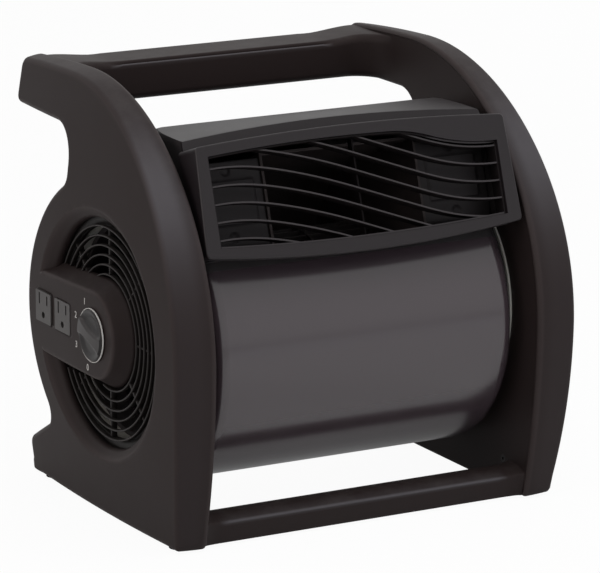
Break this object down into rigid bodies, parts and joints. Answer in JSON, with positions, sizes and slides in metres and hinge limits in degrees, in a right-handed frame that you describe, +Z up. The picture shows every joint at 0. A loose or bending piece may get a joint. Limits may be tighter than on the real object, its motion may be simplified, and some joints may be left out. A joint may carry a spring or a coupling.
{
  "type": "air circulator fan",
  "caption": "Pivoting blower fan: a louvred drum head that tilts between two bowed side panels, with a carrying handle, crossbars, ring grilles, a speed knob and power outlets.",
  "frame": {"origin": "on the floor, under the middle of the fan", "axes": "+Z up, -Y out of the front where the air leaves, +X to the right seen from the front, along the pivot axis"},
  "size_m": [0.3446, 0.288, 0.322],
  "materials": {
    "casing": "satin charcoal moulding with a fine grain",
    "grille": "matte black moulding",
    "fascia": "satin black moulding",
    "duct": "matte black moulding",
    "rubber": "matte",
    "lead": "matte sheath",
    "bush": "natural nylon",
    "hood": "satin grey moulding",
    "drum": "smooth grey moulding",
    "wheel": "matte black moulding",
    "steel": "bright",
    "motor_steel": "dark enamel",
    "motor_cast": "as cast",
    "bronze": "sintered",
    "capacitor": "smooth",
    "outlet": "smooth pale grey",
    "print": "pale trim",
    "knob": "satin",
    "screws": "dark zinc"
  },
  "bodies": {
    "frame": {"control_box": "duct", "control_lead": "lead", "cord_gland": "rubber", "front_crossbar": "casing", "grille_screws": "screws", "handle_lower_shell": "casing", "handle_top_cap": "casing", "inlet_grille_left": "grille", "inlet_grille_right": "grille", "inner_liner_left": "casing", "inner_liner_right": "casing", "liner_screws": "screws", "pivot_bush_left": "bush", "pivot_bush_right": "bush", "rear_crossbar": "casing", "receptacle_front": "outlet", "receptacle_rear": "outlet", "rotary_switch": "duct", "rubber_feet": "rubber", "side_panel_left": "casing", "side_panel_right": "casing"},
    "head": {"head_upper_shell": "hood", "head_lower_shell": "drum", "shell_screws": "screws", "pivot_ring_left": "duct", "pivot_ring_right": "duct", "fascia": "fascia", "louvre_grille": "fascia", "baffle_left": "duct", "baffle_right": "duct", "scroll_housing": "duct", "scroll_inlet_left": "duct", "scroll_inlet_right": "duct", "motor_can": "motor_steel", "motor_bell_inner": "motor_cast", "motor_bell_outer": "motor_cast", "bearing_inner": "bronze", "bearing_outer": "bronze", "motor_stator": "motor_steel", "motor_bracket": "steel", "run_capacitor": "capacitor"},
    "wheel": {"blower_wheel": "wheel", "motor_shaft": "steel", "motor_rotor": "motor_steel"},
    "knob": {"speed_knob": "knob", "knob_ring": "print", "switch_spindle": "steel"}
  },
  "joints": [
    {"name": "head_tilt", "type": "hinge", "parent": "frame", "child": "head", "pos_m": [0, -0.02, 0.1395], "axis": [-1, 0, 0], "range_deg": [-63, 72]},
    {"name": "blower_spin", "type": "hinge", "parent": "head", "child": "wheel", "pos_m": [0, -0.02, 0.1395], "axis": [1, 0, 0], "continuous": true},
    {"name": "knob_turn", "type": "hinge", "parent": "frame", "child": "knob", "pos_m": [-0.17, -0.02, 0.1395], "axis": [1, 0, 0], "range_deg": [-84, 40]}
  ]
}
